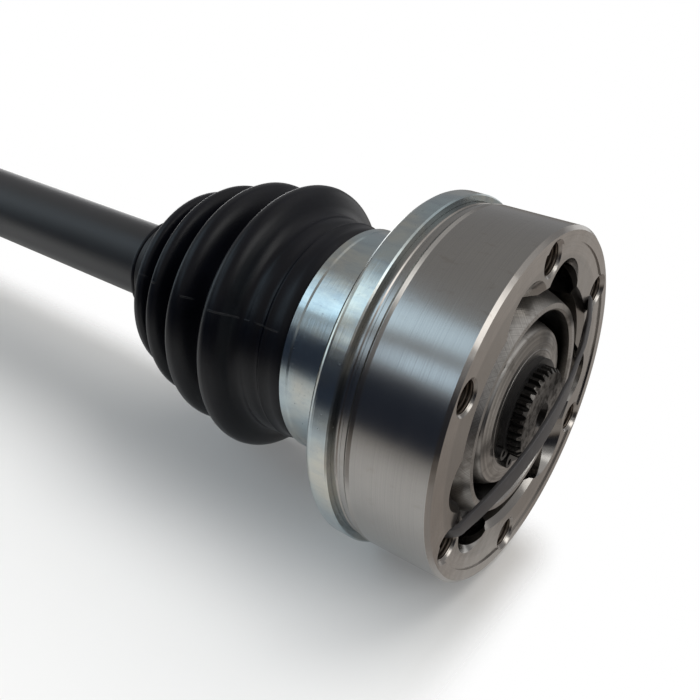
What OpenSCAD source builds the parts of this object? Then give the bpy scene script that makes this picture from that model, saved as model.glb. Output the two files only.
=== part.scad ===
// Drive shaft with a plunging six-ball joint and a rubber bellows at each end.
// Millimetres. The origin is the centre of the wheel-end mounting face, +X points out of that face,
// the bar runs towards -X, and +Z is up through one bolt hole. Both ends are the same assembly;
// the gearbox end is the wheel end turned half a turn about +Z.

/* [Layout] */
// Distance between the two mounting faces
face_distance = 440; // [400:1:700]
// How far the splined end stands out of the mounting face
end_stand_out = 4; // [3:0.5:6]
// How far the gearbox end is turned round the bar against the wheel end
end_turn = 0; // [0:1:59]
// Working angle of each joint, either way
joint_angle = 20; // [10:1:20]
// Plunge of each joint, either way
joint_plunge = 7; // [3:0.5:7]

/* [Bar] */
// Diameter of the plain bar
bar_d = 26; // [25.9:0.1:27]
// Largest diameter of the splined end
spline_d = 25.8; // [25:0.1:25.9]
// Number of spline teeth
spline_teeth = 33; // [24:1:40]
// Depth of a spline tooth
spline_depth = 1; // [0.7:0.1:1.2]
// Diameter of the shoulder behind the inner race
shoulder_d = 29; // [28.5:0.5:30]
// Clearance between the splines of the bar and of the inner race, per side
spline_clearance = 0.05; // [0.02:0.01:0.1]

/* [Outer race] */
// Outside diameter of the outer race
race_d = 100; // [98:0.5:104]
// Width of the outer race
race_width = 33.5; // [33.4:0.1:35]
// Diameter of the band that the boot flange is pressed on
spigot_d = 98.8; // [96:0.2:98.8]
// Width of the full-diameter band at the front
front_band = 24; // [20:0.5:27]
// Inner diameter of the raised ring that locates on the mating flange
register_d = 92; // [91:0.5:94]
// How far that ring stands proud of the rest of the face
register_step = 0.4; // [0.2:0.1:0.8]
// Chamfer of the front outer edge
race_chamfer = 1; // [0.5:0.1:1.5]

/* [Bolt holes] */
// Bolt circle diameter
bolt_circle_d = 86; // [85.6:0.1:87]
// Diameter of a bolt hole
bolt_hole_d = 8.4; // [8.2:0.1:9]
// How much larger the holes in the boot flange are, per side
flange_hole_gap = 0.4; // [0.2:0.1:0.6]
// Number of bolt holes
bolt_count = 6; // [3:3:6]

/* [Balls and tracks] */
// Ball diameter
ball_d = 16.6; // [16:0.1:16.7]
// Diameter of the circle that the ball centres lie on
ball_circle_d = 62; // [61.6:0.1:62.4]
// Inclination of each track, alternating left and right
track_angle = 16; // [12:0.5:16]
// Clearance between ball and track
track_clearance = 0.32; // [0.3:0.01:0.4]
// Extra depth of the tracks in the inner race
hub_track_depth = 0.45; // [0.4:0.05:0.7]

/* [Inner race and cage] */
// Spherical diameter of the inner race
hub_d = 52.4; // [51:0.1:52.6]
// Width of the inner race
hub_width = 31; // [29:0.5:31.5]
// Gap between the cage and the bore of the outer race, per side
cage_clearance = 0.3; // [0.3:0.05:0.5]
// Gap between the inner race and the cage, per side
cage_bore_gap = 1.2; // [1.1:0.1:1.6]
// Wall of the cage at its middle
cage_wall = 6.1; // [5.8:0.1:6.4]
// Width of the cage
cage_width = 32; // [28:0.5:32]
// Length of a cage window around the joint
window_length = 20.3; // [18:0.1:21]
// Gap between ball and window along the joint, per side
window_clearance = 0.05; // [0.03:0.01:0.1]

/* [Boot flange] */
// Sheet thickness
flange_sheet = 2; // [1.6:0.1:2]
// Depth behind the mounting face where the rim starts
flange_start = 28.3; // [27.5:0.1:30]
// Outside diameter of the neck
neck_d = 68.6; // [68.4:0.1:70]
// Depth of the neck's rear edge behind the mounting face
neck_end = 58; // [54:0.5:60]
// Gap between the rim and the outer race
flange_clearance = 0.05; // [0.02:0.01:0.1]

/* [Bellows] */
// Length of the bellows from the neck to the end of its collar
boot_length = 80; // [74:0.5:90]
// Radius of the largest fold
first_fold_r = 42.2; // [41:0.1:46]
// Radius of the smallest fold
last_fold_r = 31.3; // [30:0.1:34]
// Depth of a fold
fold_depth = 9; // [7:0.5:10]
// Wall thickness measured across the axis
boot_wall = 2.6; // [2:0.1:3]
// Gap between the collar and the bar
collar_clearance = 0.05; // [0.02:0.01:0.1]
// Width of the small clamp
clamp_width = 7; // [5:0.5:8]
// Where the small clamp's crimped ear sits round the bar, from the top of the wheel end
clamp_turn = 180; // [0:15:345]

/* [Transport strap] */
// Width of the strap
strap_width = 4.8; // [3.6:0.1:5]
// Thickness of the strap
strap_thickness = 1.3; // [1:0.1:1.4]
// Height of the arch over the mounting face
strap_height = 7.5; // [7.4:0.1:12]

/* [Hidden] */
$fn = 96;
tracks = 6;
race_r = race_d / 2;
spigot_r = spigot_d / 2;
bolt_r = bolt_circle_d / 2;
joint_depth = race_width / 2;
ball_r = ball_d / 2;
ball_circle_r = ball_circle_d / 2;
track_r = ball_r + track_clearance;
relief_r = track_r + 0.1;
// a ball steps this far along the tracks when the joint bends and plunges
track_travel = joint_plunge / 2 + ball_circle_r * sin(60) * sin(joint_angle / 2) + 0.2;
hub_r = hub_d / 2;
cage_bore_r = hub_r + cage_bore_gap;
cage_r = cage_bore_r + cage_wall;
bore_r = cage_r + cage_clearance;
hub_back = joint_depth + hub_width / 2;
neck_r = neck_d / 2;
neck_bore_r = neck_r - flange_sheet;
flange_r = spigot_r + flange_clearance + flange_sheet;
plate_front = race_width;
plate_back = race_width + flange_sheet;
washer_sheet = 1.8;
washer_rise = 1.2;
washer_r = 19;
shoulder_at = hub_back + washer_sheet + washer_rise;
clip_width = 1.75;
clip_at = joint_depth - hub_width / 2;
clip_groove_r = spline_d / 2 - spline_depth - 0.2;
clip_gap = 3.3;
lug_angle = 222;
hole_start = 90;
strap_angle = 30;
collar_start = neck_end + boot_length * 0.86;
collar_end = neck_end + boot_length;
collar_r = bar_d / 2 + 3.3;

// local frame of one end: z = 0 on the mounting face, +z out of it, x to +Y and y to +Z at the wheel
module at_end(e)
  translate([e == 0 ? 0 : -face_distance, 0, 0]) rotate([0, 0, e * 180]) rotate([90, 0, 90])
    rotate([0, 0, e * end_turn]) children();

// points of an arc in the section plane
function arc(c, r, a, b, n = 6) = [for (i = [0:n]) c + r * [cos(a + (b - a) * i / n), sin(a + (b - a) * i / n)]];

// spline tooth outline, grown by gap on every side
function spline_points(gap) = [for (i = [0:spline_teeth - 1], j = [0:3])
  let (
    pitch = 360 / spline_teeth,
    tip = spline_d / 2 + gap,
    root = spline_d / 2 - spline_depth + gap,
    turn = gap / tip * 57.3,
    wide = pitch * 0.36 + turn,
    thin = pitch * 0.16 + turn,
    r = (j == 0 || j == 3) ? root : tip,
    a = i * pitch + (j == 0 ? -wide : j == 1 ? -thin : j == 2 ? thin : wide)
  ) r * [cos(a), sin(a)]];

// the ball tracks of one race, as solids to cut away
module track_set(r, side)
  for (k = [0:tracks - 1])
    rotate([0, 0, k * 360 / tracks]) translate([r, 0, -joint_depth]) {
      tilt = side * (k % 2 == 0 ? track_angle : -track_angle);
      rotate([tilt, 0, 0]) cylinder(h = 2 * race_width, r = track_r, center = true);
      cylinder(h = 2 * track_travel, r = relief_r, center = true);
      for (s = [-1, 1]) translate([0, 0, s * track_travel]) sphere(r = relief_r);
    }

module race(e)
  color([0.70, 0.71, 0.72]) at_end(e) difference() {
    rotate_extrude() polygon([
      [bore_r + 1.6, -register_step], [register_d / 2, -register_step], [register_d / 2, 0],
      [race_r - race_chamfer, 0], [race_r, -race_chamfer], [race_r, 0.4 - front_band],
      [spigot_r, -front_band - 0.4], [spigot_r, -front_band - 1.6], [spigot_r - 0.3, -front_band - 1.9],
      [spigot_r - 0.3, -front_band - 2.5], [spigot_r, -front_band - 2.8], [spigot_r, 0.8 - race_width], [spigot_r - 0.8, -race_width],
      [bore_r + 1, -race_width], [bore_r, 1 - race_width], [bore_r, -register_step - 1.6]]);
    track_set(ball_circle_r, 1);
    for (k = [0:tracks - 1])
      rotate([0, 0, k * 360 / tracks]) translate([ball_circle_r, 0, -joint_depth])
        rotate([k % 2 == 0 ? track_angle : -track_angle, 0, 0])
          translate([0, 0, joint_depth / cos(track_angle) - 2.6])
            cylinder(h = 6, r1 = track_r - 0.2, r2 = track_r + 3.4);
    for (k = [0:bolt_count - 1])
      rotate([0, 0, hole_start + k * 360 / bolt_count]) translate([bolt_r, 0, 0]) {
        translate([0, 0, -race_width - 1]) cylinder(h = race_width + 3, r = bolt_hole_d / 2);
        translate([0, 0, -register_step - 0.7])
          cylinder(h = 2, r1 = bolt_hole_d / 2, r2 = bolt_hole_d / 2 + 2);
      }
  }

module hub(e)
  color([0.62, 0.63, 0.65]) at_end(e) difference() {
    translate([0, 0, -joint_depth]) intersection() {
      sphere(r = hub_r);
      rotate_extrude() polygon([
        [0, -hub_width / 2], [hub_r * 0.71, -hub_width / 2], [hub_r, 2.2 - hub_width / 2],
        [hub_r, hub_width / 2 - 2.2], [hub_r * 0.71, hub_width / 2], [0, hub_width / 2]]);
    }
    track_set(ball_circle_r - hub_track_depth, -1);
    translate([0, 0, -joint_depth - hub_width]) linear_extrude(height = 2 * hub_width)
      polygon(spline_points(spline_clearance));
    for (s = [-1, 1])
      translate([0, 0, s * (hub_width / 2 - 0.4) - joint_depth]) rotate([s < 0 ? 180 : 0, 0, 0])
        translate([0, 0, -0.8]) cylinder(h = 2, r1 = spline_d / 2 - 0.6, r2 = spline_d / 2 + 1.4);
  }

module cage(e)
  color([0.55, 0.55, 0.56]) at_end(e) translate([0, 0, -joint_depth]) difference() {
    intersection() {
      sphere(r = cage_r);
      cylinder(h = cage_width, r = cage_r + 1, center = true);
    }
    cylinder(h = cage_width + 2, r = cage_bore_r, center = true);
    for (s = [0, 1])
      mirror([0, 0, s]) translate([0, 0, cage_width / 2 - 0.8])
        cylinder(h = 2, r1 = cage_bore_r - 0.2, r2 = cage_bore_r + 1.8);
    for (k = [0:tracks - 1])
      rotate([0, 0, k * 360 / tracks]) translate([cage_bore_r - 4, 0, 0]) rotate([90, 0, 90])
        linear_extrude(height = cage_wall + 8) window();
  }

// cage window outline, long way across the joint
module window() {
  high = ball_d + 2 * window_clearance;
  corner = 3.2;
  square([window_length, high - 2 * corner], center = true);
  square([window_length - 2 * corner, high], center = true);
  for (x = [-1, 1], y = [-1, 1])
    translate([x * (window_length / 2 - corner), y * (high / 2 - corner)]) circle(r = corner);
}

module ball(e, k)
  color([0.80, 0.81, 0.83]) at_end(e)
    rotate([0, 0, k * 360 / tracks]) translate([ball_circle_r, 0, -joint_depth]) sphere(r = ball_r);

module circlip(e)
  color([0.10, 0.10, 0.11]) at_end(e) translate([0, 0, -clip_at]) linear_extrude(height = clip_width)
    rotate([0, 0, lug_angle]) difference() {
      union() {
        circle(r = spline_d / 2 + 1.7);
        for (s = [-1, 1]) rotate([0, 0, s * 14]) translate([spline_d / 2 + 1.6, 0]) circle(r = 2.1);
      }
      circle(r = clip_groove_r + 0.05);
      polygon([[0, 0], [2 * washer_r, -clip_gap], [2 * washer_r, clip_gap]]);
      for (s = [-1, 1]) rotate([0, 0, s * 14]) translate([spline_d / 2 + 1.9, 0]) circle(r = 0.9);
    }

module washer(e)
  color([0.25, 0.25, 0.27]) at_end(e) rotate_extrude() polygon([
    [washer_r, -hub_back], [washer_r, -hub_back - washer_sheet],
    [bar_d / 2 + 0.2, -hub_back - washer_sheet - washer_rise],
    [bar_d / 2 + 0.2, -hub_back - washer_rise]]);

module flange(e)
  color([0.72, 0.75, 0.78]) at_end(e) difference() {
    rotate_extrude() polygon(concat(
      [[neck_bore_r, -neck_end], [neck_r - 0.2, -neck_end], [neck_r + 0.25, 0.5 - neck_end],
       [neck_r + 0.25, 2.6 - neck_end], [neck_r, 3.2 - neck_end]],
      arc([neck_r + 3, -plate_back - 3], 3, 180, 90),
      arc([flange_r - 2.5, 2.5 - plate_back], 2.5, -90, 0),
      [[flange_r, -flange_start - 0.4], [flange_r - 0.4, -flange_start],
       [spigot_r + flange_clearance, -flange_start],
       [spigot_r + flange_clearance, -plate_front]],
      arc([neck_r + 3, -plate_back - 3], 3 + flange_sheet, 90, 180)));
    for (k = [0:bolt_count - 1])
      rotate([0, 0, hole_start + k * 360 / bolt_count]) translate([bolt_r, 0, -plate_back - 2])
        cylinder(h = flange_sheet + 4, r = bolt_hole_d / 2 + flange_hole_gap);
  }

// bellows section: radius against the share of the length behind the neck
folds = 4;
fold_at = [0.268, 0.472, 0.631, 0.755];
function fold_r(i) = first_fold_r - (first_fold_r - last_fold_r) * pow(i / (folds - 1), 1.25);
function valley_r(i) = (fold_r(i) + fold_r(i + 1)) / 2 - fold_depth;
function valley_at(i) = (fold_at[i] + fold_at[i + 1]) / 2 + 0.008;
// crest and valley in turn, first crest to last crest
function knot(j) = j % 2 == 0 ? [fold_at[j / 2], fold_r(j / 2)]
  : [valley_at((j - 1) / 2), valley_r((j - 1) / 2)];
// rounded crest and tighter valley between two knots
function flank(a, b, n = 9) = [for (i = [0:n - 1])
  let (t = i / n, up = b[1] > a[1], u = up ? 1 - t : t, w = pow(0.5 - 0.5 * cos(180 * u), 1.5))
  [a[0] + (b[0] - a[0]) * t, up ? b[1] + (a[1] - b[1]) * w : a[1] + (b[1] - a[1]) * w]];
// collar behind the neck up to its lip, a low ridge, then the wall of the largest fold
shoulder = [[0.004, neck_bore_r - 0.05], [0.006, neck_r - 0.9], [0.05, neck_r - 0.5],
  [0.094, neck_r - 0.2], [0.1, neck_r - 0.5], [0.106, neck_r - 1], [0.122, neck_r - 0.9],
  [0.142, neck_r - 0.3], [0.165, neck_r], [0.186, neck_r + 0.7], [0.203, neck_r + 2.1],
  [0.219, first_fold_r - 4.1], [0.234, first_fold_r - 1.9], [0.25, first_fold_r - 0.5]];
boot_outside = concat(
  shoulder,
  [for (j = [0:2 * folds - 3]) each flank(knot(j), knot(j + 1))],
  flank(knot(2 * folds - 2), [0.86, collar_r + 0.4]),
  [[0.86, collar_r + 0.4]]);
// radius inside the wall, never closer to the bar than the collar
function inside(p) = max(collar_r - 0.8, p[1] - boot_wall);
function behind_neck(p) = [p[1], -neck_end - boot_length * p[0]];

module boot(e)
  color([0.07, 0.07, 0.075]) at_end(e) rotate_extrude() polygon(concat(
    [[neck_bore_r - 0.05 - boot_wall, 10 - neck_end], [neck_bore_r - 0.05, 10 - neck_end]],
    [for (p = boot_outside) behind_neck(p)],
    [[collar_r + 0.9, -collar_start - 0.1], [collar_r + 0.9, -collar_start - 1.1],
     [collar_r, -collar_start - 1.5], [collar_r, 1.5 - collar_end],
     [collar_r + 0.9, 1.1 - collar_end], [collar_r + 0.9, -collar_end],
     [bar_d / 2 + collar_clearance, -collar_end], [bar_d / 2 + collar_clearance, 1 - collar_start]],
    [for (i = [len(boot_outside) - 1:-1:2]) let (p = boot_outside[i])
      behind_neck([p[0] - (i > len(boot_outside) - 3 ? 0.012 : 0), inside(p)])]));

module clamp(e)
  color([0.60, 0.61, 0.63]) at_end(e)
    translate([0, 0, -(collar_start + collar_end) / 2 - clamp_width / 2])
      rotate([0, 0, clamp_turn]) linear_extrude(height = clamp_width) difference() {
        union() {
          circle(r = collar_r + 1);
          translate([-3.2, 0]) square([6.4, collar_r + 3.2]);
          translate([-2.2, collar_r + 3.2]) circle(r = 1);
          translate([2.2, collar_r + 3.2]) circle(r = 1);
          translate([-2.2, collar_r + 2.2]) square([4.4, 2]);
        }
        circle(r = collar_r + collar_clearance);
        translate([-2.2, 0]) square([4.4, collar_r + 2.8]);
      }

// arch height over the face at a distance s from the axis
function arch(s) = strap_height * (1 - pow(s / (bolt_r - 2), 2));
module strap() {
  reach = bolt_r - bolt_hole_d / 2;
  n = 28;
  color([0.20, 0.21, 0.22]) at_end(0) rotate([0, 0, strap_angle]) rotate([90, 0, 0])
    translate([0, 0, -strap_width / 2]) linear_extrude(height = strap_width) polygon(concat(
      [for (i = [0:n]) let (s = reach * (2 * i / n - 1)) [s, max(arch(s), 0.5)]],
      [for (i = [n:-1:0]) let (s = reach * (2 * i / n - 1))
        [s, max(arch(s) - strap_thickness, -register_step)]]));
}

// section of the plain bar between the two splined ends, shoulders included
function plain_section() = let (a = -shoulder_at, b = shoulder_at - face_distance) [
  [0, a], [shoulder_d / 2, a], [shoulder_d / 2, a - 3.5], [bar_d / 2, a - 8],
  [bar_d / 2, b + 8], [shoulder_d / 2, b + 3.5], [shoulder_d / 2, b], [0, b]];

// one splined end with its chamfer, circlip groove and centre hole
module spline_end()
  difference() {
    intersection() {
      translate([0, 0, -shoulder_at - 1]) linear_extrude(height = shoulder_at + end_stand_out + 1)
        polygon(spline_points(0));
      rotate_extrude() polygon([
        [0, -shoulder_at - 2], [spline_d / 2 + 1, -shoulder_at - 2],
        [spline_d / 2 + 1, end_stand_out - 1.9], [spline_d / 2 - 0.9, end_stand_out],
        [0, end_stand_out]]);
    }
    rotate_extrude() polygon([
      [clip_groove_r, -0.05 - clip_at], [spline_d / 2 + 2, -0.05 - clip_at],
      [spline_d / 2 + 2, clip_width + 0.05 - clip_at], [clip_groove_r, clip_width + 0.05 - clip_at]]);
    translate([0, 0, end_stand_out - 4]) cylinder(h = 5, r1 = 0.6, r2 = 4.2);
  }

module bar()
  color([0.05, 0.05, 0.055]) union() {
    at_end(0) rotate_extrude() polygon(plain_section());
    for (e = [0, 1]) at_end(e) spline_end();
  }

bar();
race(0);  // wheel_race
hub(0);  // wheel_hub
cage(0);  // wheel_cage
ball(0, 0);  // wheel_ball_1
ball(0, 1);  // wheel_ball_2
ball(0, 2);  // wheel_ball_3
ball(0, 3);  // wheel_ball_4
ball(0, 4);  // wheel_ball_5
ball(0, 5);  // wheel_ball_6
circlip(0);  // wheel_circlip
washer(0);  // wheel_washer
flange(0);  // wheel_flange
boot(0);  // wheel_boot
clamp(0);  // wheel_clamp
strap();  // transport_strap
race(1);  // gearbox_race
hub(1);  // gearbox_hub
cage(1);  // gearbox_cage
ball(1, 0);  // gearbox_ball_1
ball(1, 1);  // gearbox_ball_2
ball(1, 2);  // gearbox_ball_3
ball(1, 3);  // gearbox_ball_4
ball(1, 4);  // gearbox_ball_5
ball(1, 5);  // gearbox_ball_6
circlip(1);  // gearbox_circlip
washer(1);  // gearbox_washer
flange(1);  // gearbox_flange
boot(1);  // gearbox_boot
clamp(1);  // gearbox_clamp
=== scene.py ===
# %% [markdown]
# # A drive shaft, dressed for its picture
# The part is a short drive shaft from a rear axle: a black steel bar with a plunging ball joint
# at each end, and behind each joint a pressed flange and a rubber bellows. The hard pieces come
# exact from the CAD model. What is left for Blender is what a CAD model can't say: turned and
# plated metal, soft rubber, a plastic strap pulled tight by hand, light and a camera.

import math

import bmesh
import bpy
from mathutils import Matrix, Vector


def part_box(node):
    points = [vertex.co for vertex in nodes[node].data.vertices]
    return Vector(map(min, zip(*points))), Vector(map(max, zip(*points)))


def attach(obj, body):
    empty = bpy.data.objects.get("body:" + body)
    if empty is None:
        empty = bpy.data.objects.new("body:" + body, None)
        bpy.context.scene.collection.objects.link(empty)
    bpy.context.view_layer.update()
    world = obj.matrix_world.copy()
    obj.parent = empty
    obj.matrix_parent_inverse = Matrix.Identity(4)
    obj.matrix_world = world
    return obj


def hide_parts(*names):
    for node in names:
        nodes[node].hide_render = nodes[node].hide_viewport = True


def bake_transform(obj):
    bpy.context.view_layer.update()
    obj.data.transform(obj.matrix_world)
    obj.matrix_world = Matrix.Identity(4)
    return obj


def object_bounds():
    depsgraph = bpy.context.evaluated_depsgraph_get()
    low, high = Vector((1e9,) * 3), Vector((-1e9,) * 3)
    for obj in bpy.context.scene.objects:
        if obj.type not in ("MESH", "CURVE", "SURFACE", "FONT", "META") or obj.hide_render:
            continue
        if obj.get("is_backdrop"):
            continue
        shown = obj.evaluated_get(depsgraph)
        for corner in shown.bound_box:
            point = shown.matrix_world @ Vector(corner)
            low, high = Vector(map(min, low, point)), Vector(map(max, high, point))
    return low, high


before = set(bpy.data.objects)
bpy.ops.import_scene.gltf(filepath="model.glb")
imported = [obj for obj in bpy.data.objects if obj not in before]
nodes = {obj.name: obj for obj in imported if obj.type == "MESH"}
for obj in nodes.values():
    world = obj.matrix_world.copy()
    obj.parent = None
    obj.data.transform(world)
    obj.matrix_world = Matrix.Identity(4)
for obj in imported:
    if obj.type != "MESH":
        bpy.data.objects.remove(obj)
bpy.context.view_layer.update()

# %% [markdown]
# ## Sizes that the dressing shares with the solids
# A reader of the CAD file would find the same numbers there. They could all be typed here, but
# a typed number stays behind when the model changes, so those that a piece's own box can give
# are read from it. Blender counts in metres, so lengths are written as millimetres times MM.

# %% Shared sizes
MM = 0.001
ENDS = ("wheel", "gearbox")
FACE_GAP = 440 * MM  # between the two mounting faces
BOLT_R = 43 * MM
BOLT_HOLE_R = 4.2 * MM
CAGE_BORE_R = 27.4 * MM
RIM_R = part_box("wheel_flange")[1].z
BOOT_END = -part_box("wheel_boot")[0].x
print("rim radius", round(RIM_R, 4), "boot ends at", round(BOOT_END, 4))

# %% [markdown]
# ## Both ends from one recipe
# The two ends are the same assembly turned round, so every shape below is made once, for an end
# that is named, and one function puts its points where they belong.


# %% A point at either end
def at_end(end, depth, radius, angle):
    """A point of one end: depth behind the mounting face, radius, and angle from +Y towards +Z."""
    y, z = radius * math.cos(angle), radius * math.sin(angle)
    return Vector((-depth, y, z)) if end == "wheel" else Vector((depth - FACE_GAP, -y, z))


print("the gearbox face's centre is at", tuple(round(v, 3) for v in at_end("gearbox", 0, 0, 0)))

# %% [markdown]
# ## A small language for materials
# A node tree is a formula drawn as boxes. It can be wired by hand, a line for every wire, but it
# reads better as a formula. So one class wraps a socket and lets Python's own signs build the
# Math nodes: `1 - dust * 0.4` is two boxes and three wires. Colours don't go through Math nodes,
# which would turn them grey: they have `mix`.


# %% Sockets that do arithmetic
class Wire:
    """An output socket, on which arithmetic adds Math nodes."""

    def __init__(self, recipe, socket):
        self.recipe, self.socket = recipe, socket

    def math(self, operation, *others):
        """A Math node of that operation, with this socket as its first value."""
        sockets = dict(enumerate((self, *others)))
        return self.recipe.node("ShaderNodeMath", {"operation": operation}, sockets)

    def __add__(self, other):
        return self.math("ADD", other)

    def __sub__(self, other):
        return self.math("SUBTRACT", other)

    def __rsub__(self, other):
        return self.recipe.node("ShaderNodeMath", {"operation": "SUBTRACT"}, {0: other, 1: self})

    def __mul__(self, other):
        return self.math("MULTIPLY", other)

    def __truediv__(self, other):
        return self.math("DIVIDE", other)

    def __rtruediv__(self, other):
        return self.recipe.node("ShaderNodeMath", {"operation": "DIVIDE"}, {0: other, 1: self})

    def __pow__(self, other):
        return self.math("POWER", other)

    def __neg__(self):
        return self * -1

    def __abs__(self):
        return self.math("ABSOLUTE")

    __radd__, __rmul__ = __add__, __mul__

    def clamped(self):
        """The same value, held between 0 and 1."""
        settings = {"operation": "ADD", "use_clamp": True}
        return self.recipe.node("ShaderNodeMath", settings, {0: self, 1: 0})

    def span(self, low, high):
        """0 at low, 1 at high, and a soft step in between. High may be the smaller one."""
        if low > high:
            return 1 - self.span(high, low)
        settings = {"interpolation_type": "SMOOTHSTEP"}
        return self.recipe.node("ShaderNodeMapRange", settings, {0: self, 1: low, 2: high})


print("reflected signs:", [name for name in vars(Wire) if name.startswith("__r")])


# %% Materials as lists of nodes
class Recipe:
    """A material, or the world, as a list of nodes."""

    def __init__(self, owner):
        self.owner = owner
        owner.use_nodes = True
        self.tree = owner.node_tree
        self.tree.nodes.clear()

    def node(self, kind, settings=None, sockets=None, out=0):
        """Any node: its settings first, then its sockets, given as numbers, colours or wires."""
        made = self.tree.nodes.new(kind)
        for name, value in (settings or {}).items():
            setattr(made, name, value)
        for name, value in (sockets or {}).items():
            target = made.inputs[name]
            if isinstance(value, Wire):
                self.tree.links.new(value.socket, target)
            elif isinstance(value, tuple) and target.type == "RGBA":
                target.default_value = (*value, 1)
            else:
                target.default_value = value
        return Wire(self, made.outputs[out])

    def mix(self, factor, low, high):
        """A colour between two: low where the factor is 0 and high where it is 1."""
        settings = {"data_type": "RGBA"}
        return self.node("ShaderNodeMix", settings, {0: factor, 6: low, 7: high}, out=2)

    def vector(self, operation, *values, out=0):
        """A Vector Math node. Its second output, 1, holds the number of a dot product."""
        settings = {"operation": operation}
        return self.node("ShaderNodeVectorMath", settings, dict(enumerate(values)), out)

    def place(self):
        """The point on the piece, in the part's own frame, as (vector, x, y, z)."""
        where = self.node("ShaderNodeTexCoord", out=3)
        parts = self.node("ShaderNodeSeparateXYZ", None, {0: where}).socket.node
        return (where, *(Wire(self, s) for s in parts.outputs))

    def noise(self, size, detail, rough, where=None, stretch=(1, 1, 1), along=None):
        """Cloudy noise with blobs of about that size in metres, or lines across `along`."""
        if along is not None:
            sockets = {"W": along, "Scale": 1 / size, "Detail": detail, "Roughness": rough}
            return self.node("ShaderNodeTexNoise", {"noise_dimensions": "1D"}, sockets)
        where = where or self.place()[0]
        where = self.vector("MULTIPLY", where, stretch)
        sockets = {"Vector": where, "Scale": 1 / size, "Detail": detail, "Roughness": rough}
        return self.node("ShaderNodeTexNoise", None, sockets)

    def bump(self, height, depth, under=None):
        """A Normal from a height of 0 to 1 that stands that many metres high."""
        sockets = {"Height": height, "Distance": depth, "Strength": 1.0}
        if under:
            sockets["Normal"] = under
        return self.node("ShaderNodeBump", None, sockets)

    def rays(self):
        """Three wires: 1 for a ray from the camera, off gloss, and through glass, in turn."""
        kinds = ("Is Camera Ray", "Is Glossy Ray", "Is Transmission Ray")
        return [self.node("ShaderNodeLightPath", out=kind) for kind in kinds]

    def finish(self, **sockets):
        """The shader itself. Names are the sockets' names with _ for a space."""
        named = {name.replace("_", " "): value for name, value in sockets.items()}
        shader = self.node("ShaderNodeBsdfPrincipled", None, named)
        return self.show(shader)

    def show(self, shader):
        """Wires a shader to the material's, or the world's, output."""
        kind = "World" if isinstance(self.owner, bpy.types.World) else "Material"
        end = self.tree.nodes.new(f"ShaderNodeOutput{kind}")
        self.tree.links.new(shader.socket, end.inputs["Surface"])
        return self.owner


def material(name):
    """A new material under that name, ready for its nodes."""
    return Recipe(bpy.data.materials.new(name))


print("materials are written as formulas from here on")

# %% [markdown]
# ## Turned steel
# The outer races are turned on a lathe and lightly ground: the tool leaves hundreds of fine
# rings round the outside and fine circles on the faces. An anisotropic shader could fake the
# smear, and an image of rings would need unwrapping. One formula serves both surfaces instead.
# Its line coordinate is the distance along the axis on the outside, and the distance from the
# axis on a face, and the surface's own direction says which one counts. The rings are cut into
# the surface as a bump, because that is what makes a reflection smear along the axis and stay
# sharp round it.


# %% Where a point lies on the shaft
def from_axis(recipe):
    """(vector, distance along the axis, distance from it, angle round it from 0 to 1)."""
    where, x, y, z = recipe.place()
    radius = (y * y + z * z) ** 0.5
    turn = recipe.node("ShaderNodeMath", {"operation": "ARCTAN2"}, {0: z, 1: y}) / math.tau + 0.5
    return where, x, radius, turn


def facing_axis(recipe):
    """1 on a face that looks along the axis and 0 on one that looks away from it."""
    normal = recipe.node("ShaderNodeTexCoord", out=1)
    parts = recipe.node("ShaderNodeSeparateXYZ", None, {0: normal})
    return abs(parts).span(0.55, 0.8)


def depth_of(x):
    """Depth behind the nearer of the two mounting faces."""
    return (-x).math("MINIMUM", x + FACE_GAP)


print("a point is found by its distance along the axis, its distance from it and its turn")


# %% Inside a bolt hole
def in_bolt_hole(radius, turn):
    """1 on the wall of one of the six bolt holes, which stand at 30 degrees and every 60."""
    angle = ((turn * 6).math("FRACT") - 0.5) * (math.tau / 6)
    along = radius * angle.math("COSINE") - BOLT_R
    across = radius * angle.math("SINE")
    away = (along * along + across * across) ** 0.5
    return away.span(BOLT_HOLE_R + 0.3 * MM, BOLT_HOLE_R + 0.1 * MM)


print("bolt holes:", round(BOLT_HOLE_R * 2 / MM, 1), "mm wide,", round(BOLT_R / MM), "mm out")

# %% [markdown]
# Three things break the plain turning. The face is brighter from the bolt circle outwards, where
# it has been rubbed. The bolt holes are duller and carry the marks of their screws. And the band
# of full width rolls over just before its step, which catches the light in one thin line. The
# step itself is in the CAD model, but so fine a roll, a millimetre wide, is left to a bump.


# %% Turned steel
RUBBED_FROM, RUBBED_TO = 41.8 * MM, 43.2 * MM
THREAD_PITCH = 1.05 * MM
ROLL_END, ROLL_WIDTH = 23.5 * MM, 1.2 * MM  # behind a mounting face, just before the step


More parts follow.
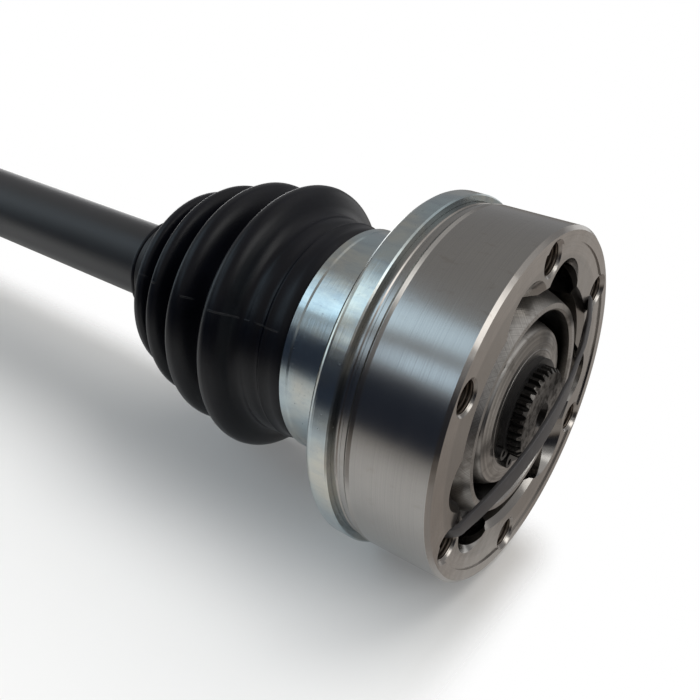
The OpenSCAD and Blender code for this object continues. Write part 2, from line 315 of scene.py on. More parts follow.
def turned_steel():
    """Steel with the marks of the lathe, for the outer races."""
    m = material("turned_steel")
    where, x, radius, turn = from_axis(m)
    face = facing_axis(m)
    line = x * (1 - face) + radius * face
    rings = m.noise(0.00042, 2, 0.6, along=line)
    fine = m.noise(0.00016, 2, 0.6, along=line)
    broad = m.noise(0.006, 3, 0.5, along=line + 0.01)
    cloud = m.noise(0.012, 4, 0.6, where)
    stain = m.noise(0.0021, 3, 0.7, where, (0.35, 1, 1)).span(0.58, 0.76)
    hole = in_bolt_hole(radius, turn) * (1 - face)
    rubbed = radius.span(RUBBED_FROM, RUBBED_TO)
    faced = m.mix(rubbed, (0.34, 0.315, 0.29), (0.43, 0.395, 0.365))
    tone = m.mix(face, (0.35, 0.338, 0.322), faced)
    tone = m.mix(cloud.span(0.3, 0.75) * 0.35, tone, (0.31, 0.30, 0.29))
    tone = m.mix(rings.span(0.35, 0.75) * 0.3, tone, (0.26, 0.255, 0.25))
    tone = m.mix(stain * 0.3, tone, (0.24, 0.21, 0.18))
    tone = m.mix(hole, tone, (0.30, 0.255, 0.215))
    threads = (x * (math.tau / THREAD_PITCH)).math("SINE") * 0.5 + 0.5
    marks = (rings * 0.6 + fine * 0.4) * (1 - hole) + threads * hole * 14
    waves = m.noise(0.011, 2, 0.5, where) * face
    roll = ((depth_of(x) - (ROLL_END - ROLL_WIDTH)) / ROLL_WIDTH).clamped() * (1 - hole)
    normal = m.bump(waves, 0.35 * MM, m.bump(marks, 0.0075 * MM))
    return m.finish(
        Base_Color=tone, Metallic=1.0,
        Roughness=0.13 + rings * 0.04 + cloud * 0.06 + broad * 0.04 + hole * 0.14,
        Normal=m.bump(roll, 1.1 * MM, normal))


STEEL = turned_steel()
print("made", STEEL.name)

# %% [markdown]
# ## Ground steel
# The hub and the cage were ground after hardening. On the cage the wheel crossed twice at a
# slant, which left a fine cross-hatch: two sets of lines that spiral in and out. The hub's face
# was turned, with a shallow step round the splines. Painted shade darkens the gap between the two.
# Two materials would do, one for each piece. One is enough, because the distance from the axis
# tells the two apart, and the grease has to run on from one to the other.


# %% Ground steel
HATCH_R = 30 * MM  # the distance from the axis at which the two sets of lines cross squarely
HUB_STEP_R = 16.4 * MM


def ground_steel():
    """Steel with the marks of the grinding wheel, for the hubs and the cages."""
    m = material("ground_steel")
    where, x, radius, turn = from_axis(m)
    face = facing_axis(m)
    line = x * (1 - face) + radius * face
    sweep = turn * (math.tau * HATCH_R)
    hatch = m.noise(0.00042, 1, 0.5, along=sweep + line) * 0.5
    hatch = hatch + m.noise(0.00042, 1, 0.5, along=sweep - line) * 0.5
    on_cage = radius.span(CAGE_BORE_R - 0.6 * MM, CAGE_BORE_R)
    hatch = hatch * on_cage + m.noise(0.0006, 2, 0.5, along=radius) * (1 - on_cage)
    step = radius.span(HUB_STEP_R + 0.5 * MM, HUB_STEP_R) * face
    # Painted shade: the deep gap between the hub and the cage is made near black.
    gap_shade = radius.span(CAGE_BORE_R + 0.9 * MM, CAGE_BORE_R + 0.4 * MM)
    gap_shade = gap_shade * radius.span(21 * MM, 25 * MM) * depth_of(x).span(1.6 * MM, 4 * MM)
    cloud = m.noise(0.009, 4, 0.6, where)
    grease = m.noise(0.0045, 4, 0.65, where).span(0.5, 0.7)
    tone = m.mix(hatch.span(0.35, 0.65), (0.46, 0.445, 0.425), (0.33, 0.315, 0.30))
    tone = m.mix(grease * 0.45, tone, (0.13, 0.115, 0.10))
    tone = m.mix(gap_shade * 0.95, tone, (0.016, 0.014, 0.012))
    return m.finish(Base_Color=tone, Metallic=1.0,
                    Roughness=0.22 + hatch * 0.12 + cloud * 0.10 + grease * 0.08,
                    Normal=m.bump(step, 0.25 * MM, m.bump(hatch, 0.03 * MM)))


GROUND = ground_steel()
print("made", GROUND.name)

# %% [markdown]
# ## Polished balls
# Bearing balls are lapped until they mirror the room. Grease leaves a thin brown film on them.
# The film could be a clear coat, but it is patchy and it dulls what is under it, so it is a
# cloud that darkens the colour and roughens the polish in the same places.


# %% Balls
def ball_steel():
    """Polished steel under a film of grease."""
    m = material("ball_steel")
    film = m.noise(0.006, 3, 0.6).span(0.42, 0.68)
    tone = m.mix(film * 0.8, (0.62, 0.62, 0.63), (0.10, 0.075, 0.05))
    return m.finish(Base_Color=tone, Metallic=1.0, Roughness=0.10 + film * 0.25)


BALLS = ball_steel()
print("made", BALLS.name)

# %% [markdown]
# ## Zinc plate
# The boot flange is pressed from sheet and zinc plated. Zinc is a cool, bluish white, the
# passivation over it gives a faint yellow drift, and the drawn sheet has soft dents and runs
# along the neck that bend its reflections. A perfect mirror of the room would look like chrome.
# So clouds, spots and runs each take a little of the colour and of the polish, and a slow wave
# in the surface does the bending.


# %% Zinc
def zinc_plate():
    """Plated sheet, cloudy and slightly dented, for the boot flanges."""
    m = material("zinc_plate")
    where, x = from_axis(m)[:2]
    drift = m.noise(0.024, 3, 0.5, where)
    cloud = m.noise(0.005, 4, 0.65, where, (0.4, 1, 1))
    spot = m.noise(0.0013, 3, 0.7, where).span(0.62, 0.74)
    streak = m.noise(0.0016, 3, 0.6, where, (0.12, 1, 1)).span(0.5, 0.72)
    tone = m.mix(drift.span(0.35, 0.65), (0.40, 0.48, 0.51), (0.52, 0.51, 0.455))
    tone = m.mix(cloud.span(0.4, 0.7) * 0.5, tone, (0.31, 0.365, 0.41))
    tone = m.mix(streak * 0.25, tone, (0.31, 0.36, 0.40))
    tone = m.mix(spot * 0.5, tone, (0.22, 0.24, 0.26))
    waves = m.noise(0.008, 2, 0.4, where, (0.3, 1, 1))
    rings = m.noise(0.0007, 2, 0.5, along=x)
    normal = m.bump(waves, 0.16 * MM, m.bump(rings, 0.01 * MM))
    return m.finish(Base_Color=tone, Metallic=1.0, Roughness=0.14 + cloud * 0.12 + spot * 0.1,
                    Normal=normal)


ZINC = zinc_plate()
print("made", ZINC.name)

# %% [markdown]
# ## Black parts
# The bar is painted satin black, and the circlips, washers and clamps have a thin black coat.
# They differ in how much of it has been rubbed off, so one helper makes the coat and each finish
# says how worn it is.


# %% Black finishes
def worn_coat(m, where, colour, worn):
    """(colour, cloud, rub) of a thin dark coat that is rubbed through in small patches."""
    cloud = m.noise(0.016, 4, 0.6, where, (0.5, 1, 1))
    rub = m.noise(0.0035, 4, 0.7, where, (0.25, 1, 1)).span(0.66, 0.8)
    tone = m.mix(cloud * 0.8, colour, tuple(c * 1.7 for c in colour))
    return m.mix(rub * worn, tone, (0.20, 0.20, 0.20)), cloud, rub


def black_coat():
    """A thin coat on steel, for the circlips, the washers and the clamps."""
    m = material("black_coat")
    where = m.place()[0]
    tone, cloud, rub = worn_coat(m, where, (0.035, 0.034, 0.034), 0.5)
    grain = m.noise(0.0006, 2, 0.6, where)
    return m.finish(Base_Color=tone, Metallic=0.6, Roughness=0.34 + cloud * 0.10 + rub * 0.08,
                    Normal=m.bump(grain, 0.012 * MM))


COAT = black_coat()
print("made", COAT.name)

# %% [markdown]
# The bar's splined ends are bare steel under dark grease, and on the end face the grease was
# wiped, so that the turned steel shows through. Each zone could be a material of its own, laid
# on chosen faces. The distance along the bar is simpler, and it fades one into the next.


# %% The bar: paint, then grease at both ends
BARE_FROM = 33 * MM  # behind a mounting face, where the paint ends
CENTRE_HOLE_R = 2.4 * MM


def bar_paint():
    """Satin paint along the bar, and greasy steel at its splined ends."""
    m = material("bar_paint")
    where, x, radius = from_axis(m)[:3]
    tone, cloud, rub = worn_coat(m, where, (0.013, 0.013, 0.0145), 0.12)
    grain = m.noise(0.0006, 2, 0.6, where)
    face = facing_axis(m)
    bare = depth_of(x).span(BARE_FROM + MM, BARE_FROM - MM)
    smear = m.noise(0.0022, 4, 0.65, where).span(0.42, 0.62)
    wiped = m.mix(smear, (0.19, 0.18, 0.17), (0.045, 0.040, 0.036))
    rusty = radius.span(CENTRE_HOLE_R + 0.2 * MM, CENTRE_HOLE_R - 0.2 * MM)
    wiped = m.mix(rusty, wiped, (0.10, 0.055, 0.03))
    teeth = m.mix(smear * 0.7, (0.055, 0.052, 0.05), (0.014, 0.012, 0.011))
    end = m.mix(face, teeth, wiped)
    rings = m.noise(0.0005, 2, 0.6, along=radius) * face * bare
    return m.finish(
        Base_Color=m.mix(bare, tone, end), Metallic=bare * 0.9,
        Roughness=0.34 + cloud * 0.10 + rub * 0.06 + bare * smear * 0.12,
        Normal=m.bump(grain + rings * 2, 0.012 * MM))


PAINT = bar_paint()
print("made", PAINT.name)

# %% [markdown]
# ## Rubber
# The bellows is moulded rubber: a soft, faintly blue black with a dry bloom, a fine grain, and
# a thin line along each side where the two halves of the mould met. The line could be a ridge in
# the mesh, but it is a tenth of a millimetre high and comes and goes, so it is a bump that a
# cloud breaks up. What makes rubber of it is how little the surface reflects.


# %% Rubber
SEAM_ANGLE = 155.5  # degrees from +Y towards +Z
SEAM_TURN = 2.5 - 2 * (SEAM_ANGLE / 360 + 0.5)  # makes the fraction below a half on each seam


def boot_rubber():
    """Moulded rubber with its grain, its bloom and its mould line."""
    m = material("boot_rubber")
    where, _, _, turn = from_axis(m)
    bloom = m.noise(0.014, 4, 0.6, where)
    grain = m.noise(0.0005, 3, 0.6, where)
    dust = m.noise(0.0011, 2, 0.6, where).span(0.70, 0.78)
    seam = abs((turn * 2 + SEAM_TURN).math("FRACT") - 0.5).span(0.0026, 0.0008)
    seam = seam * m.noise(0.006, 2, 0.5, where).span(0.50, 0.62)
    tone = m.mix(bloom.span(0.3, 0.8), (0.0010, 0.0013, 0.0036), (0.0028, 0.0034, 0.0072))
    tone = m.mix(dust * 0.15, tone, (0.06, 0.06, 0.06))
    tone = m.mix(seam * 0.55, tone, (0.024, 0.026, 0.030))
    normal = m.bump(seam, 0.14 * MM, m.bump(grain, 0.022 * MM))
    return m.finish(Base_Color=tone, Roughness=0.28 + bloom * 0.12 - seam * 0.05, Normal=normal,
                    Specular_IOR_Level=0.28)


RUBBER = boot_rubber()
print("made", RUBBER.name)

# %% [markdown]
# ## Strap plastic
# The strap is a plain dark tie of smooth plastic: a grey with a soft gloss and a few scuffs that
# run along it. Nylon lets a little light in, but a band this thin and dark doesn't show it, so
# there is no scattering under the surface.


# %% Strap plastic
def strap_plastic():
    """Dark plastic with scuffs along the band."""
    m = material("strap_plastic")
    bloom = m.noise(0.01, 3, 0.6)
    scuff = m.noise(0.0016, 3, 0.7, None, (1, 0.2, 0.2)).span(0.6, 0.75)
    tone = m.mix(bloom, (0.055, 0.053, 0.055), (0.09, 0.087, 0.09))
    tone = m.mix(scuff * 0.3, tone, (0.13, 0.13, 0.13))
    return m.finish(Base_Color=tone, Roughness=0.36 + bloom * 0.12,
                    Normal=m.bump(scuff, 0.03 * MM))


PLASTIC = strap_plastic()
print("made", PLASTIC.name)

# %% [markdown]
# ## Dress the CAD pieces
# The metal pieces keep their CAD meshes, because those are exact. Each gets the finish that its
# kind has, found by the word in its name. The meshes arrive with their vertices doubled along
# every machined edge. So smooth shading makes the round stretches round, leaves those edges
# crisp, and moves no vertex.

# %% Dress the CAD pieces
FINISH = {"bar": PAINT, "race": STEEL, "hub": GROUND, "cage": GROUND, "ball": BALLS,
          "circlip": COAT, "washer": COAT, "flange": ZINC, "clamp": COAT}
dressed = 0
for name, node in nodes.items():
    kind = name.split("_")[1] if "_" in name else name
    if kind in FINISH:
        for place in node.material_slots:
            place.material = FINISH[kind]
        node.data.shade_smooth()
        dressed += 1
print("dressed", dressed, "CAD pieces")

# %% [markdown]
# ## Two helpers for soft shapes
# The bellows and the strap are both skins over a row of rings: circles for the one, a small
# rounded bar for the other. A curve with a bevel or a Screw modifier could make either, but the
# cuts between lengths have to meet vertex on vertex, so the rings are laid one by one.


# %% Skins over rings
def add(name, data):
    """An object in the scene that shows this mesh, lamp or camera."""
    made = bpy.data.objects.new(name, data)
    bpy.context.scene.collection.objects.link(made)
    return made


def bridge(shape, rings):
    """Faces from each ring of vertices to the next."""
    for near, far in zip(rings, rings[1:]):
        for k in range(len(near)):
            n = (k + 1) % len(near)
            shape.faces.new((near[k], near[n], far[n], far[k]))


def smooth_piece(name, shape):
    """An object of a finished shape, shaded smooth."""
    shape.normal_update()
    mesh = bpy.data.meshes.new(name)
    shape.to_mesh(mesh)
    shape.free()
    mesh.shade_smooth()
    return add(name, mesh)


print("soft pieces are laid ring by ring")

# %% [markdown]
# ## The bellows
# A bellows is a revolved curve, but a soft one: broad round folds, tight valleys, and at the
# large end a moulded shoulder in steps that seats in the flange's neck. Its depths and radii are
# in millimetres, as a maker would draw them. The crests shrink towards the bar faster and
# faster, and each valley lies a little nearer to the bar than halfway.

# %% Crests and valleys
NECK_END, FOLD_SPAN = 58.0, 80.0
FIRST_R, LAST_R = 42.2, 31.3
FOLD_AT = (0.268, 0.472, 0.631, 0.755)  # shares of the folded length
FOLD_DEPTH = 9
SHRINK = 1.25
VALLEY_SHIFT = 0.008


def depth_at(share):
    """A share of the folded length as a depth behind the mounting face."""
    return NECK_END + FOLD_SPAN * share


def crests_and_valleys():
    """(depth, radius) of each crest and each valley in turn."""
    last = len(FOLD_AT) - 1
    radii = [FIRST_R - (FIRST_R - LAST_R) * (i / last) ** SHRINK for i in range(last + 1)]
    knots = []
    for i, radius in enumerate(radii):
        knots.append((depth_at(FOLD_AT[i]), radius))
        if i < last:
            middle = (FOLD_AT[i] + FOLD_AT[i + 1]) / 2 + VALLEY_SHIFT
            knots.append((depth_at(middle), (radius + radii[i + 1]) / 2 - FOLD_DEPTH))
    return knots


KNOTS = crests_and_valleys()
print("crests and valleys:", [(round(d, 1), round(r, 1)) for d, r in KNOTS])


# %% The flanks between them
FLANK_POINTS = 16
CREST_BREADTH = 1.5  # 1 is a plain wave, and more makes the crest broad and the valley tight


def flank(near, far):
    """Points from one knot to the next, without the last one."""
    points = []
    rising = far[1] > near[1]
    for i in range(FLANK_POINTS):
        t = i / FLANK_POINTS
        u = 1 - t if rising else t
        drop = (0.5 - 0.5 * math.cos(math.pi * u)) ** CREST_BREADTH
        top, bottom = (far[1], near[1]) if rising else (near[1], far[1])
        points.append((near[0] + (far[0] - near[0]) * t, top + (bottom - top) * drop))
    return points


print("a flank has", FLANK_POINTS, "points")


# %% A smooth curve through points
def eased(points, count=5):
    """The points with a soft curve between them, each stretch in so many steps."""
    made = []
    for i in range(len(points) - 1):
        before, after = points[max(i - 1, 0)], points[min(i + 2, len(points) - 1)]
        here, there = points[i], points[i + 1]
        for k in range(count):
            t = k / count
            weights = (-0.5 * t + t * t - 0.5 * t ** 3, 1 - 2.5 * t * t + 1.5 * t ** 3,
                       0.5 * t + 2 * t * t - 1.5 * t ** 3, -0.5 * t * t + 0.5 * t ** 3)
            four = (before, here, there, after)
            made.append(tuple(sum(w * p[axis] for w, p in zip(weights, four))
                              for axis in (0, 1)))
    return made + [points[-1]]


print("a straight run stays straight:", eased([(0, 0), (1, 1), (2, 2), (3, 3)], 2)[3])

# %% [markdown]
# The outline has three stretches. The seat goes into the flange's neck and ends in a rounded
# bead. After a groove, the shoulder steps up to the first crest. Past the last fold, the collar
# lies on the bar, with a lip on each side of the clamp.

# %% The bellows' outline
SEAT_START = 48.5
GROOVE_AT = depth_at(0.114)
COLLAR_AT, COLLAR_END = 126.8, 138.0
COLLAR_R, LIP_R, BAR_R = 16.3, 17.2, 13.1


def boot_outline():
    """Depth and radius in metres of the outside, from inside the neck to the collar's end."""
    seat = [(SEAT_START, 32.2), (53, 32.2), (57.6, 32.2), (58.3, 32.3), (58.5, 33.4),
            (62.0, 33.8), (65.0, 34.05), (65.2, 34.3), (65.5, 34.4), (65.8, 34.25),
            (66.0, 33.6), (66.4, 33.15)]
    shoulder = [(GROOVE_AT, 33.0), (68.0, 33.2), (69.4, 33.95), (71.0, 34.45), (72.3, 34.6),
                (73.4, 35.1), (74.6, 36.6), (75.6, 38.6), (76.7, 40.5), (78.0, 41.75),
                KNOTS[0]]
    collar = [(COLLAR_AT, COLLAR_R + 0.4), (126.9, LIP_R - 0.1), (127.1, LIP_R),
              (127.8, LIP_R), (128.1, LIP_R - 0.3), (128.3, COLLAR_R), (136.5, COLLAR_R),
              (136.7, LIP_R - 0.3), (136.9, LIP_R), (137.8, LIP_R), (COLLAR_END, LIP_R - 0.2),
              (COLLAR_END, BAR_R)]
    outline = seat + eased(shoulder)[:-1]
    for near, far in zip(KNOTS, KNOTS[1:]):
        outline += flank(near, far)
    outline += flank(KNOTS[-1], collar[0]) + collar
    return [(depth * MM, radius * MM) for depth, radius in outline]


OUTLINE = boot_outline()
print("outline:", len(OUTLINE), "points, largest radius", max(r for _, r in OUTLINE))


# %% Revolve a strip
RING_STEPS = 160


def revolved(name, end, outline):
    """A surface of revolution round the shaft, smooth, with its outside outwards."""
    shape = bmesh.new()
    rings = []
    for depth, radius in outline:
        ring = [shape.verts.new(at_end(end, depth, radius, math.tau * k / RING_STEPS))
                for k in range(RING_STEPS)]
        rings.append(ring)
    bridge(shape, rings)
    return smooth_piece(name, shape)


print("a ring has", RING_STEPS, "vertices")

# %% [markdown]
# ## The bellows in lengths
# The bellows hangs between a bar and a joint that move against each other. One skin that
# stretches evenly would shear at the joint. So each is cut across into four lengths. They meet in
# the groove and at the bottoms of the first and the last valley, where a cut can't show.

# %% Cut each bellows into four lengths
FIRST_VALLEY, LAST_VALLEY = KNOTS[1][0], KNOTS[-2][0]
CUTS = [SEAT_START * MM, GROOVE_AT * MM, FIRST_VALLEY * MM, LAST_VALLEY * MM, BOOT_END]
TURNS = [(NECK_END * MM, CUTS[1]), (CUTS[1], CUTS[2]), (CUTS[2], CUTS[3]),
         (CUTS[3], COLLAR_AT * MM)]
ROUNDING = 1e-7  # so that a point on a cut belongs to both lengths


def chain(end):
    """The bodies from the outer joint inwards to the bar."""
    return [f"{end}_outer_joint", f"{end}_outer_ball", f"{end}_cage_and_balls",
            f"{end}_inner_ball", "shaft"]


for end in ENDS:
    bodies = chain(end)
    for i, turn in enumerate(TURNS):
        part = [p for p in OUTLINE if CUTS[i] - ROUNDING <= p[0] <= CUTS[i + 1] + ROUNDING]
        piece = revolved(f"{end}_bellows_{i + 1}", end, part)
        piece.data.materials.append(RUBBER)
        start, stop = (at_end(end, depth, 0, 0) for depth in turn)
        bodies[i + 1]
        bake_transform(piece)
        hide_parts(f"{end}_boot")
print("bellows in", 2 * len(TURNS), "lengths")

# %% [markdown]
# ## The transport strap
# A plastic tie goes through two opposite bolt holes and arches over the bar's end, to keep the
# joint from sliding apart on its way to the garage. It is a flat band with rounded edges that
# twists slowly on its way, as a tie does that was pulled tight by hand, and it dives into the
# holes at both ends. A cloth simulation suits fabric, and not a band as stiff as this, so the
# band is swept: a section follows a path and leans by a list of angles. Distances on the face are
# in millimetres.

# %% Where the strap runs
STRAP_ANGLE = math.radians(30)
ACROSS = Vector((0, math.cos(STRAP_ANGLE), math.sin(STRAP_ANGLE)))
OUT = Vector((1, 0, 0))
SIDE = OUT.cross(ACROSS)
TWIST = [(-38, 0), (-30, -6), (-18, -10), (-6, -9), (6, -3), (16, 10), (24, 22), (31, 20),
         (38, 0)]  # (distance across, lean in degrees)


def lean_at(across):
    """How far the band leans over, in radians, at a distance across the face."""
    for (a, low), (b, high) in zip(TWIST, TWIST[1:]):
        if across <= b:
            t = (across - a) / (b - a)
            return math.radians(low + (high - low) * t * t * (3 - 2 * t))
    return 0.0


print("the strap leans", round(math.degrees(lean_at(20)), 1), "degrees at 20 mm")

# %% The strap's path
ARCH_HEIGHT, ARCH_HALF = 6.8, 41
FLATTENING, FLAT_HALF = 0.65, 34  # what the pull takes off the arch's ends
STEP, HALF_STEPS = 0.5, 76
TAIL = [(39.0, -0.5), (39.9, -1.7), (40.7, -3.4), (41.3, -5.6), (41.8, -9.0), (42.1, -14.0),
        (42.3, -22.0)]


def strap_stations():
    """From one hole to the other: (distance across, height over the face, lean)."""
    arch = []
    for i in range(-HALF_STEPS, HALF_STEPS + 1):
        across = i * STEP
        lower = FLATTENING * min(abs(across) / FLAT_HALF, 1) ** 2
        height = ARCH_HEIGHT * (1 - (across / ARCH_HALF) ** 2) - lower
        arch.append((across * MM, height * MM, lean_at(across)))
    down = [(across * MM, height * MM, 0.0) for across, height in TAIL]
    up = [(-across, height, lean) for across, height, lean in reversed(down)]
    return up + arch + down


STATIONS = strap_stations()
print("strap stations:", len(STATIONS), "highest", max(h for _, h, _ in STATIONS))


# %% The strap's section
BAND_WIDTH, BAND_THICKNESS, BAND_CORNER = 4.8 * MM, 1.2 * MM, 0.35 * MM


def band_section():
    """The cross-section's outline: a flat bar with four rounded corners."""
    w, t = BAND_WIDTH / 2 - BAND_CORNER, BAND_THICKNESS / 2 - BAND_CORNER
    return [(x + BAND_CORNER * math.cos(math.radians(start + a)),
             y + BAND_CORNER * math.sin(math.radians(start + a)))
            for x, y, start in ((w, t, 0), (-w, t, 90), (-w, -t, 180), (w, -t, 270))
            for a in (0, 30, 60, 90)]


def band_ring(shape, i):
    """One ring of the band's vertices, square to the path."""
    before, after = STATIONS[max(i - 1, 0)], STATIONS[min(i + 1, len(STATIONS) - 1)]
    heading = (ACROSS * (after[0] - before[0]) + OUT * (after[1] - before[1])).normalized()
    across, height, lean = STATIONS[i]
    wide = SIDE * math.cos(lean) + OUT * math.sin(lean)
    wide = (wide - heading * wide.dot(heading)).normalized()
    up = heading.cross(wide)
    centre = ACROSS * across + OUT * height
    return [shape.verts.new(centre + wide * u + up * v) for u, v in band_section()]


print("the section has", len(band_section()), "points")


# %% Sweep the strap
def swept_band(name, first, last):
    """The band from one station to another, closed where the strap ends."""
    shape = bmesh.new()
    rings = [band_ring(shape, i) for i in range(first, last + 1)]
    bridge(shape, rings)
    if first == 0:
        shape.faces.new(rings[0])
    if last == len(STATIONS) - 1:
        shape.faces.new(rings[-1][::-1])
    made = smooth_piece(name, shape)
    made.data.materials.append(PLASTIC)
    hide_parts("transport_strap")
    return made


def station_at(across):
    """The number of the station nearest to a distance across the face."""
    return min(range(len(STATIONS)), key=lambda i: abs(STATIONS[i][0] - across * MM))


print("the strap's middle is station", station_at(0))

# %% [markdown]
# ## The strap in lengths
# The strap's middle rests near the bar's end, which pushes it out when the joint closes. It is cut
# into lengths as the bellows is, four on each side of a middle that rides on the bar.

# %% Cut it into lengths
STRAP_CUTS = [38, 31, 24, 17, 10]
bodies = chain("wheel")
for side, tail_end in ((-1, 0), (1, len(STATIONS) - 1)):
    for i, (outer, inner) in enumerate(zip(STRAP_CUTS, STRAP_CUTS[1:])):
        far = tail_end if i == 0 else station_at(side * outer)
        low, high = sorted((far, station_at(side * inner)))
        piece = swept_band(f"strap_{'left' if side < 0 else 'right'}_{i + 1}", low, high)
        bodies[i + 1]
        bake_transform(piece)
middle = swept_band("strap_middle", station_at(-STRAP_CUTS[-1]), station_at(STRAP_CUTS[-1]))
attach(middle, "shaft")
print("strap in", 2 * (len(STRAP_CUTS) - 1) + 1, "lengths")

# %% [markdown]
# ## Floor, light and room
# The picture was taken on a white sheet, and the rest of the room is seen only in the metal. An
# endless white floor would be simpler, but a turned cylinder picks up one narrow belt of the
# room, and there the photo has a dark strip where the sheet ends. So the sheet fades out a
# little way from the part, sooner to the right and behind than to the front, and the dark of the
# room shows past it. A faint glow, which only the camera, gloss and glass see, lifts the paper
# towards white beside the shaft. Under the shaft the glow is weaker: a painted shadow, also in
# gloss.

# %% How far each point of the sheet is from the shaft
SHEET_FULL, SHEET_GONE = 0.02, 0.34  # metres from the shaft
SHORT_RIGHT, SHORT_BACK = 20, 14  # how many times sooner it fades there
SHEET_CORNERS = 96


def past_shaft(x, y):
    """Distance from the shaft along the floor, in metres to the left and to the front."""
    left = (-x - FACE_GAP).math("MAXIMUM", 0)
    right = x.math("MAXIMUM", 0) * SHORT_RIGHT
    side = (-y).math("MAXIMUM", y * SHORT_BACK)
    return (left * left + right * right + side * side) ** 0.5


print("the sheet fades out", SHEET_GONE, "m in front of the shaft")


# %% Paper that fades out
GLOW_LEAST, GLOW_MORE = 0.10, 0.30
# Painted shadow: under the shaft the glow is least, and it rises to full between these distances.
PAINTED_SHADOW_FULL_TO, PAINTED_SHADOW_GONE_AT = 0.02, 0.08  # metres to either side of the shaft's middle


def sheet_white():
    """White paper with a glow for the camera, weaker under the shaft as a painted shadow, and
    clear where the sheet has ended.
    """
    m = material("sheet_white")
    _, x, y, _ = m.place()
    camera, gloss, glass = m.rays()
    seen = (camera + gloss + glass).math("MINIMUM", 1)
    # Painted shadow: a weaker glow in a strip under the shaft keeps the paper darker there, also
    # in reflections.
    glow = GLOW_LEAST + abs(y).span(PAINTED_SHADOW_FULL_TO, PAINTED_SHADOW_GONE_AT) * GLOW_MORE
    glow = m.mix(glow, (0, 0, 0), (1, 1, 1))
    paper = m.node("ShaderNodeBsdfDiffuse", None, {"Color": (0.70, 0.688, 0.67)})
    white = m.node("ShaderNodeEmission", None, {"Color": glow, "Strength": 1.0})
    both = m.node("ShaderNodeAddShader", None, {0: paper, 1: white})
    shown = m.node("ShaderNodeMixShader", None, {0: seen, 1: paper, 2: both})
    gone = past_shaft(x, y).span(SHEET_FULL, SHEET_GONE)
    clear = m.node("ShaderNodeBsdfTransparent")
    return m.show(m.node("ShaderNodeMixShader", None, {0: gone, 1: shown, 2: clear}))


def white_sheet():
    """A round sheet under the shaft, large enough to fade out on."""
    centre = Vector((-FACE_GAP / 2, 0, -RIM_R))
    reach = FACE_GAP / 2 + SHEET_GONE
    ring = [centre + Vector((reach * math.cos(a), reach * math.sin(a), 0))
            for a in (math.tau * k / SHEET_CORNERS for k in range(SHEET_CORNERS))]
    mesh = bpy.data.meshes.new("sheet")
    mesh.from_pydata(ring, [], [tuple(range(SHEET_CORNERS))])
    made = add("sheet", mesh)
    made.data.materials.append(sheet_white())
    made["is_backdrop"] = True
    return made


sheet = white_sheet()
print("the sheet lies at", round(sheet.data.vertices[0].co.z, 4), "m")

# %% [markdown]
# ## The room
# Steel shows what stands round it, so the room matters more than any lamp. A photographed room
# could be wrapped round the scene as an image, but a formula can be moved a degree at a time. A
# belt of ceiling, walls and floor comes first. Then each window, lamp and dark thing that the
# photo's metal mirrors is a soft patch in its own direction. The camera sees plain white
# instead, and so does the metal where it looks the way that the camera looks.


# %% Directions in the room
def direction(azimuth, elevation):
    """A unit vector: azimuth 0 points to the front, along -Y, and 90 along +X."""
    a, e = math.radians(azimuth), math.radians(elevation)
    return (math.sin(a) * math.cos(e), -math.cos(a) * math.cos(e), math.sin(e))


# For each patch: what it is, its azimuth and elevation, the cosines of the angles from its
# middle at which it starts and is full, the lowest and highest elevation that it keeps to with
# the softness of those edges in degrees, and its light.
PATCHES = [
    ("dark shelf", -24, 5, 0.70, 0.84, (-16, 21, 4), (0.025, 0.032, 0.05)),
    ("dark door", 38, -5, 0.70, 0.84, (-20, 12, 4), (0.02, 0.022, 0.03)),
    ("upper pane", -44, 50, 0.88, 0.94, (43, 56, 2), (1.12, 1.42, 1.66)),
    ("sky in it", -52, 42, 0.983, 0.997, None, (1.55, 2.0, 2.3)),
    ("lower pane", -20, 31, 0.960, 0.985, (25, 35, 2), (1.25, 1.60, 1.90)),
    ("lamp at the right", 98, 31, 0.935, 0.98, None, (2.6, 2.6, 2.55)),
    ("pane at the left", -79, 10, 0.955, 0.985, None, (1.2, 1.45, 1.6)),
    ("low light behind", -126, -6, 0.965, 0.985, None, (2.2, 2.2, 2.2)),
    ("pale wall behind", 140, 55, 0.80, 0.97, None, (0.72, 0.71, 0.70)),
]
print("patches:", ", ".join(patch[0] for patch in PATCHES))


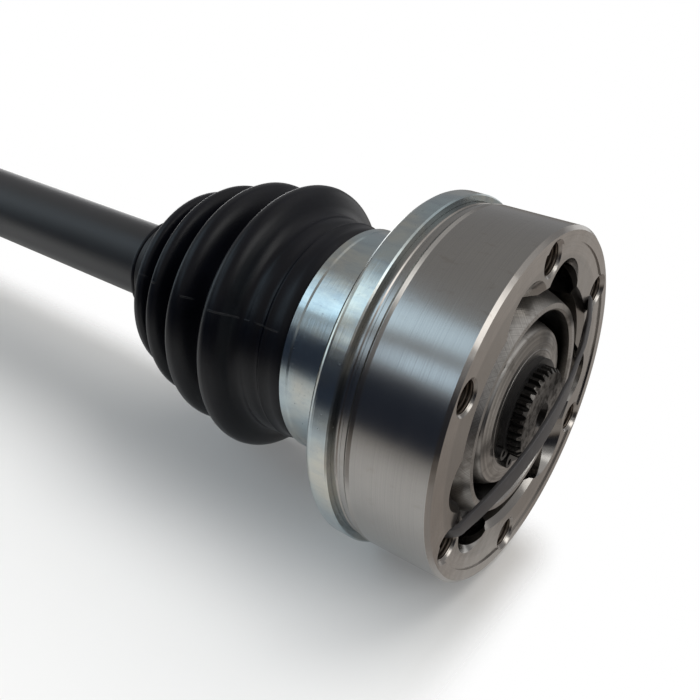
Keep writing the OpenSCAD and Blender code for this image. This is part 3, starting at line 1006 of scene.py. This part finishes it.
# %% The room
def build_room():
    """The world: walls and patches for the metal, plain white for the camera."""
    world = bpy.data.worlds.new("room")
    bpy.context.scene.world = world
    m = Recipe(world)
    look = m.vector("NORMALIZE", m.node("ShaderNodeTexCoord", out=0))
    parts = m.node("ShaderNodeSeparateXYZ", None, {0: look}).socket.node
    height = Wire(m, parts.outputs[2])

    def near(azimuth, elevation):
        """The cosine of the angle between the way one looks and a direction."""
        return m.vector("DOT_PRODUCT", look, direction(azimuth, elevation), out=1)

    def belt(low, high, soft):
        """1 between two elevations, with soft edges."""
        a, b, c, d = (math.sin(math.radians(e)) for e in (low - soft, low + soft, high - soft,
                                                          high + soft))
        return height.span(a, b) * height.span(d, c)

    below, floor, wall = (0.45, 0.43, 0.41), (0.17, 0.145, 0.12), (0.34, 0.34, 0.345)
    ceiling, near_wood, far_wood = (0.39, 0.385, 0.38), (0.34, 0.31, 0.285), (0.50, 0.475, 0.45)
    light = m.mix(height.span(-0.6, -0.3), below, floor)
    light = m.mix(height.span(-0.25, 0.05), light, wall)
    light = m.mix(height.span(0.1, 0.95), light, ceiling)
    wood = m.mix(height.span(-0.65, -0.35), near_wood, far_wood)
    light = m.mix(near(150, -30).span(0.55, 0.85) * height.span(-0.2, -0.35), light, wood)
    for _, azimuth, elevation, start, full, kept_to, tone in PATCHES:
        inside = near(azimuth, elevation).span(start, full)
        if kept_to:
            inside = inside * belt(*kept_to)
        light = m.mix(inside, light, tone)

    lit = m.node("ShaderNodeBackground", None, {"Color": light, "Strength": 1.0})
    white = m.node("ShaderNodeBackground", None, {"Color": (1, 1, 1), "Strength": 1.0})
    camera, gloss, glass = m.rays()
    backdrop = near(175, -2).span(0.95, 0.99)
    seen = (camera + (gloss + glass) * backdrop).math("MINIMUM", 1)
    return m.show(m.node("ShaderNodeMixShader", None, {0: seen, 1: lit, 2: white}))


room = build_room()
print("the room has", len(room.node_tree.nodes), "nodes")

# %% [markdown]
# ## One soft lamp
# The room alone would light the part evenly, and its shadow would have no direction. A sun would
# draw the shadow's edge too sharply. One large square lamp, high behind the part, gives the
# shadow its side and keeps it soft. It is left out of reflections, because the patches make
# those.


# %% The lamp
LAMP_AIM = Vector((-0.1, 0, 0))
LAMP_AWAY, LAMP_SIZE, LAMP_POWER = 1.3, 0.9, 6


def soft_lamp(azimuth, elevation):
    """A square lamp in that direction from the part, turned to face it."""
    lamp = bpy.data.lights.new("back", "AREA")
    lamp.shape, lamp.size, lamp.energy = "SQUARE", LAMP_SIZE, LAMP_POWER
    lamp.color = (1.0, 0.985, 0.96)
    made = add("back", lamp)
    away = Vector(direction(azimuth, elevation))
    made.location = LAMP_AIM + away * LAMP_AWAY
    made.rotation_mode = "QUATERNION"
    made.rotation_quaternion = away.to_track_quat("Z", "Y")
    made.visible_glossy = False
    return made


print("lamp at", [round(v, 2) for v in soft_lamp(150, 58).location])

# %% [markdown]
# ## The camera
# A camera can be placed by eye, but then every piece has to be judged by eye too. The photo's own
# camera was found from the picture instead: the face's circle, the bolt circle and the outer
# cylinder, whose sizes are known, fix where it stood and how long its lens was.

# %% The camera
CAMERA_AT = Vector((0.06819, -0.18095, 0.11970))
CAMERA_BACK = Vector((0.5021, -0.7148, 0.4868))
CAMERA_UP = Vector((-0.3218, 0.3681, 0.8723))
PIXELS, FOCAL_PIXELS = 700, 833.5
SENSOR_WIDTH = 36  # millimetres


def photo_camera():
    """The camera that took the photo, in the part's own frame."""
    back = CAMERA_BACK.normalized()
    right = CAMERA_UP.cross(back).normalized()
    up = back.cross(right)
    data = bpy.data.cameras.new("photo_camera")
    data.sensor_width = SENSOR_WIDTH
    data.lens = FOCAL_PIXELS / PIXELS * SENSOR_WIDTH
    data.clip_start, data.clip_end = 0.01, 10
    made = add("photo_camera", data)
    made.matrix_world = Matrix((right, up, back)).transposed().to_4x4()
    made.location = CAMERA_AT
    bpy.context.scene.camera = made
    return made


camera = photo_camera()
bpy.context.scene.view_settings.view_transform = "Standard"
print("lens", round(camera.data.lens, 2), "mm")

# %% [markdown]
# ## The size at the end
# The box of everything that is shown, the sheet left out, is printed last.

# %% The visual box
low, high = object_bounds()
print("visual box:", [round(v, 4) for v in (*low, *high)])
